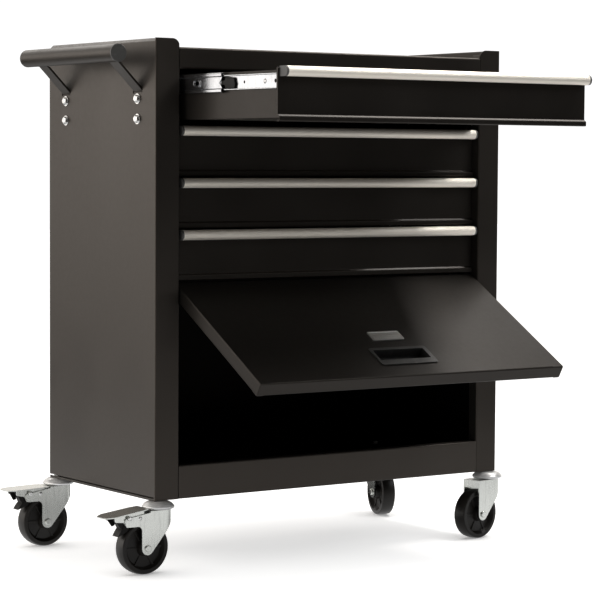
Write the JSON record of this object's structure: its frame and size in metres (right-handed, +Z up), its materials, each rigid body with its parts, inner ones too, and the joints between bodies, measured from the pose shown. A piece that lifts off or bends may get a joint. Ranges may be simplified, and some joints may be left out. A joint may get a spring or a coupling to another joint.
{
  "type": "tool cart",
  "caption": "Steel tool cart on swivel casters with ball-bearing drawers, a flip-up lower flap, an open tray on top and a side push handle.",
  "frame": {"origin": "bottom centre of the whole cart's box as stored, on the floor", "axes": "+X to the cart's right, +Y to its back, +Z up; drawers pull out towards -Y"},
  "size_m": [0.7124, 0.5825, 0.7505],
  "materials": {
    "powder_coat": "semi-gloss black powder coat, faint orange-peel texture",
    "pull_aluminium": "satin anodised, drawn lengthwise",
    "cap_plastic": "dark grey moulded",
    "cup_plastic": "black moulded, fine texture",
    "badge_metal": "brushed, plain",
    "slide_steel": "bright zinc",
    "zinc_hardware": "bright zinc",
    "zinc_pressing": "zinc plated pressing",
    "dome_chrome": "polished",
    "wheel_polymer": "black, satin tread and moulded hub",
    "shoe_plastic": "black moulded"
  },
  "bodies": {
    "cabinet": {"left_side_panel": "powder_coat", "right_side_panel": "powder_coat", "back_panel": "powder_coat", "top_front_rail": "powder_coat", "top_tray": "powder_coat", "bottom_front_rail": "powder_coat", "base_pan": "powder_coat", "flap_header": "powder_coat", "slide_uprights": "powder_coat", "slide_outer_members": "slide_steel", "flap_hinge_pins": "zinc_hardware", "handle_bar": "powder_coat", "handle_bar_caps": "cap_plastic", "handle_arm_front": "powder_coat", "handle_arm_rear": "powder_coat", "handle_bolts": "zinc_hardware", "handle_washers": "zinc_hardware", "handle_nuts": "zinc_hardware", "caster_stems": "dome_chrome", "caster_stem_nuts": "zinc_hardware"},
    "drawer_1": {"drawer_1_box": "powder_coat", "drawer_1_pull": "pull_aluminium", "drawer_1_pull_caps": "cap_plastic", "slide_1_inner": "slide_steel"},
    "slide_1": {"slide_1_middle": "slide_steel"},
    "drawer_2": {"drawer_2_box": "powder_coat", "drawer_2_pull": "pull_aluminium", "drawer_2_pull_caps": "cap_plastic", "slide_2_inner": "slide_steel"},
    "slide_2": {"slide_2_middle": "slide_steel"},
    "drawer_3": {"drawer_3_box": "powder_coat", "drawer_3_pull": "pull_aluminium", "drawer_3_pull_caps": "cap_plastic", "slide_3_inner": "slide_steel"},
    "slide_3": {"slide_3_middle": "slide_steel"},
    "drawer_4": {"drawer_4_box": "powder_coat", "drawer_4_pull": "pull_aluminium", "drawer_4_pull_caps": "cap_plastic", "slide_4_inner": "slide_steel"},
    "slide_4": {"slide_4_middle": "slide_steel"},
    "flap": {"flap_panel": "powder_coat", "flap_cup_pull": "cup_plastic", "flap_badge": "badge_metal"},
    "front_left_caster": {"front_left_fork": "zinc_pressing", "front_left_axle": "zinc_pressing"},
    "front_left_roller": {"front_left_wheel": "wheel_polymer"},
    "front_left_brake": {"front_left_brake_pedal": "zinc_pressing", "front_left_brake_shoe": "shoe_plastic"},
    "rear_left_caster": {"rear_left_fork": "zinc_pressing", "rear_left_axle": "zinc_pressing"},
    "rear_left_roller": {"rear_left_wheel": "wheel_polymer"},
    "rear_left_brake": {"rear_left_brake_pedal": "zinc_pressing", "rear_left_brake_shoe": "shoe_plastic"},
    "front_right_caster": {"front_right_fork": "zinc_pressing", "front_right_axle": "zinc_pressing"},
    "front_right_roller": {"front_right_wheel": "wheel_polymer"},
    "rear_right_caster": {"rear_right_fork": "zinc_pressing", "rear_right_axle": "zinc_pressing"},
    "rear_right_roller": {"rear_right_wheel": "wheel_polymer"}
  },
  "joints": [
    {"name": "drawer_1_travel", "type": "slide", "parent": "cabinet", "child": "drawer_1", "axis": [0, -1, 0], "range_m": [-0.258, 0]},
    {"name": "slide_1_travel", "type": "slide", "parent": "cabinet", "child": "slide_1", "axis": [0, -1, 0], "range_m": [-0.129, 0]},
    {"name": "drawer_2_travel", "type": "slide", "parent": "cabinet", "child": "drawer_2", "axis": [0, -1, 0], "range_m": [0, 0.258]},
    {"name": "slide_2_travel", "type": "slide", "parent": "cabinet", "child": "slide_2", "axis": [0, -1, 0], "range_m": [0, 0.129]},
    {"name": "drawer_3_travel", "type": "slide", "parent": "cabinet", "child": "drawer_3", "axis": [0, -1, 0], "range_m": [0, 0.258]},
    {"name": "slide_3_travel", "type": "slide", "parent": "cabinet", "child": "slide_3", "axis": [0, -1, 0], "range_m": [0, 0.129]},
    {"name": "drawer_4_travel", "type": "slide", "parent": "cabinet", "child": "drawer_4", "axis": [0, -1, 0], "range_m": [0, 0.258]},
    {"name": "slide_4_travel", "type": "slide", "parent": "cabinet", "child": "slide_4", "axis": [0, -1, 0], "range_m": [0, 0.129]},
    {"name": "flap_hinge", "type": "hinge", "parent": "cabinet", "child": "flap", "pos_m": [0.03519, -0.02077, 0.394], "axis": [-1, 0, 0], "range_deg": [-60, 30]},
    {"name": "front_left_swivel", "type": "hinge", "parent": "cabinet", "child": "front_left_caster", "pos_m": [-0.26281, -0.02277, 0.0905], "axis": [0, 0, 1], "continuous": true},
    {"name": "front_left_roll", "type": "hinge", "parent": "front_left_caster", "child": "front_left_roller", "pos_m": [-0.28931, -0.02277, 0.038], "axis": [0, 1, 0], "continuous": true},
    {"name": "front_left_brake_press", "type": "hinge", "parent": "front_left_caster", "child": "front_left_brake", "pos_m": [-0.31931, -0.02277, 0.083], "axis": [0, -1, 0], "range_deg": [-6, 0]},
    {"name": "rear_left_swivel", "type": "hinge", "parent": "cabinet", "child": "rear_left_caster", "pos_m": [-0.26281, 0.26823, 0.0905], "axis": [0, 0, 1], "continuous": true},
    {"name": "rear_left_roll", "type": "hinge", "parent": "rear_left_caster", "child": "rear_left_roller", "pos_m": [-0.28931, 0.26823, 0.038], "axis": [0, 1, 0], "continuous": true},
    {"name": "rear_left_brake_press", "type": "hinge", "parent": "rear_left_caster", "child": "rear_left_brake", "pos_m": [-0.31931, 0.26823, 0.083], "axis": [0, -1, 0], "range_deg": [0, 6]},
    {"name": "front_right_swivel", "type": "hinge", "parent": "cabinet", "child": "front_right_caster", "pos_m": [0.33319, -0.02277, 0.0905], "axis": [0, 0, 1], "continuous": true},
    {"name": "front_right_roll", "type": "hinge", "parent": "front_right_caster", "child": "front_right_roller", "pos_m": [0.30702, -0.02691, 0.038], "axis": [-0.1564, 0.9877, 0], "continuous": true},
    {"name": "rear_right_swivel", "type": "hinge", "parent": "cabinet", "child": "rear_right_caster", "pos_m": [0.33319, 0.26823, 0.0905], "axis": [0, 0, 1], "continuous": true},
    {"name": "rear_right_roll", "type": "hinge", "parent": "rear_right_caster", "child": "rear_right_roller", "pos_m": [0.32633, 0.24263, 0.038], "axis": [-0.9659, 0.2588, 0], "continuous": true}
  ],
  "couplings": [
    {"joint": "slide_1_travel", "follows": "drawer_1_travel", "ratio": 0.5},
    {"joint": "slide_2_travel", "follows": "drawer_2_travel", "ratio": 0.5},
    {"joint": "slide_3_travel", "follows": "drawer_3_travel", "ratio": 0.5},
    {"joint": "slide_4_travel", "follows": "drawer_4_travel", "ratio": 0.5}
  ]
}
